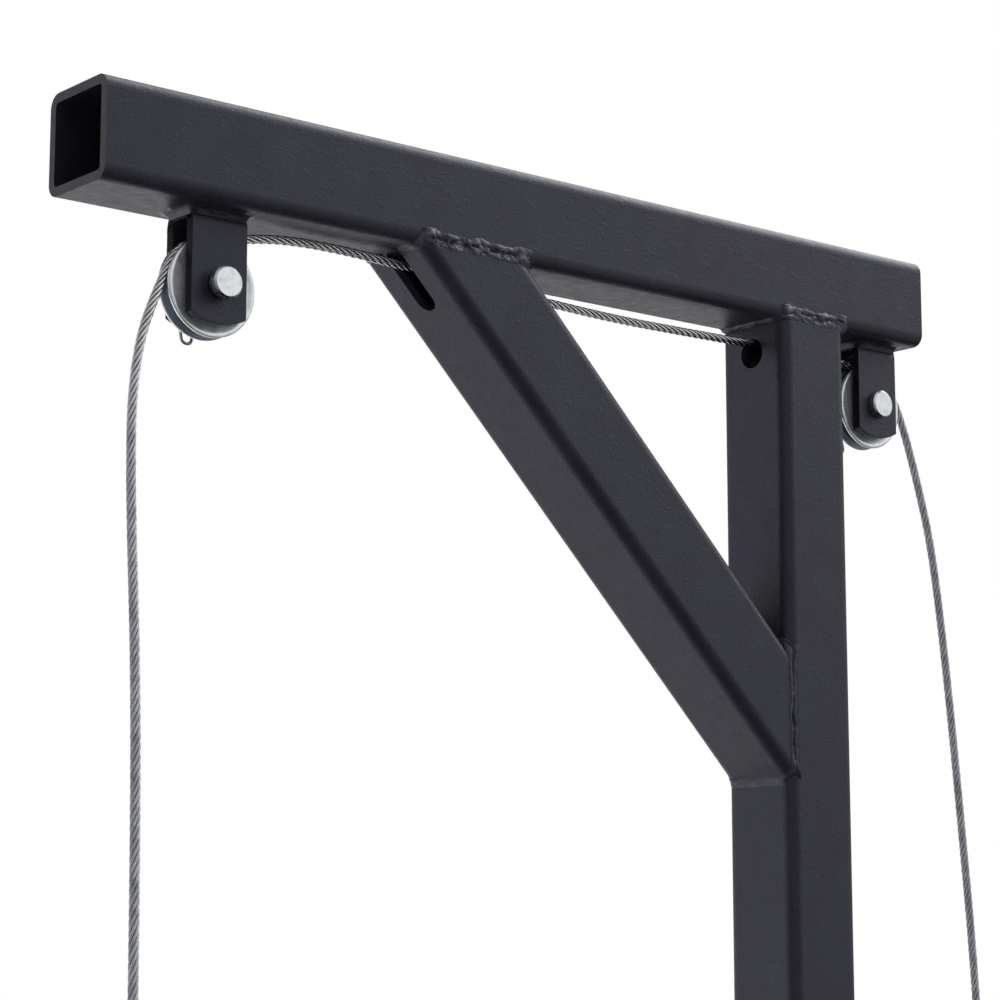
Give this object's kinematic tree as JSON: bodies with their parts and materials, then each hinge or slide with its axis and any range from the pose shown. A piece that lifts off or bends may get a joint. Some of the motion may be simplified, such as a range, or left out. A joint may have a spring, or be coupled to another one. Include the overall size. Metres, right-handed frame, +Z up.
{
  "type": "rope pulley arm",
  "caption": "Post-mounted square-tube pulley arm with a 45 degree brace and two clevis sheaves under its beam, carrying a wire rope with eyes and a snap hook.",
  "frame": {"origin": "centre of the cross-pin hole through the post, 50.8 mm above the post's lower end", "axes": "+X along the beam from the long overhang to the short one, +Y from the front face to the back along the cross-pin, +Z up the post"},
  "size_m": [0.6478, 0.108, 0.5653],
  "materials": {
    "powder_coated_steel": "fine-textured charcoal powder coat, semi-matt",
    "painted_weld": "powder coat over rippled weld bead",
    "zinc_plated_steel": "bright zinc plate, lightly brushed",
    "zinc_plated_sheave": "turned steel with clear zinc plate",
    "galvanised_rope": "galvanised stranded wire",
    "aluminium_sleeve": "pressed aluminium, satin",
    "polished_hook": "zinc-plated forged steel, satin",
    "bronze": "sintered bronze, oiled",
    "spring_wire": "drawn spring wire"
  },
  "bodies": {
    "frame": {"beam_tube": "powder_coated_steel", "post_tube": "powder_coated_steel", "brace_tube": "powder_coated_steel", "beam_post_weld": "painted_weld", "beam_brace_weld": "painted_weld", "brace_post_weld": "painted_weld", "left_bracket": "powder_coated_steel", "right_bracket": "powder_coated_steel", "left_bracket_weld": "painted_weld", "right_bracket_weld": "painted_weld", "left_clevis_pin": "zinc_plated_steel", "right_clevis_pin": "zinc_plated_steel", "left_pin_washer": "zinc_plated_steel", "right_pin_washer": "zinc_plated_steel", "left_pin_clip": "zinc_plated_steel", "right_pin_clip": "zinc_plated_steel", "rope_span": "galvanised_rope", "rope_left_drop": "galvanised_rope", "rope_right_drop": "galvanised_rope", "left_ferrule": "aluminium_sleeve", "right_ferrule": "aluminium_sleeve", "left_rope_eye": "galvanised_rope", "right_rope_eye": "galvanised_rope", "left_thimble": "zinc_plated_steel", "right_thimble": "zinc_plated_steel"},
    "left_sheave": {"left_sheave": "zinc_plated_sheave", "left_sheave_bush": "bronze"},
    "right_sheave": {"right_sheave": "zinc_plated_sheave", "right_sheave_bush": "bronze"},
    "snap_hook": {"snap_hook_body": "polished_hook", "snap_gate_pin": "zinc_plated_steel"},
    "snap_gate": {"snap_gate": "polished_hook", "snap_gate_spring": "spring_wire"}
  },
  "joints": [
    {"name": "left_sheave_spin", "type": "hinge", "parent": "frame", "child": "left_sheave", "pos_m": [-0.3945, 0, 0.3952], "axis": [0, 1, 0], "continuous": true},
    {"name": "right_sheave_spin", "type": "hinge", "parent": "frame", "child": "right_sheave", "pos_m": [0.067, 0, 0.3952], "axis": [0, 1, 0], "continuous": true},
    {"name": "snap_hook_swing", "type": "hinge", "parent": "frame", "child": "snap_hook", "pos_m": [-0.4653, -0.066, -0.0157], "axis": [0, 1, 0], "range_deg": [-45, 45]},
    {"name": "snap_gate_open", "type": "hinge", "parent": "snap_hook", "child": "snap_gate", "pos_m": [-0.4653, -0.054, -0.0637], "axis": [1, 0, 0], "range_deg": [0, 18], "stiffness_Nm_per_rad": 0.02, "springref_deg": -17.19}
  ],
  "couplings": [
    {"joint": "right_sheave_spin", "follows": "left_sheave_spin", "ratio": 1}
  ]
}
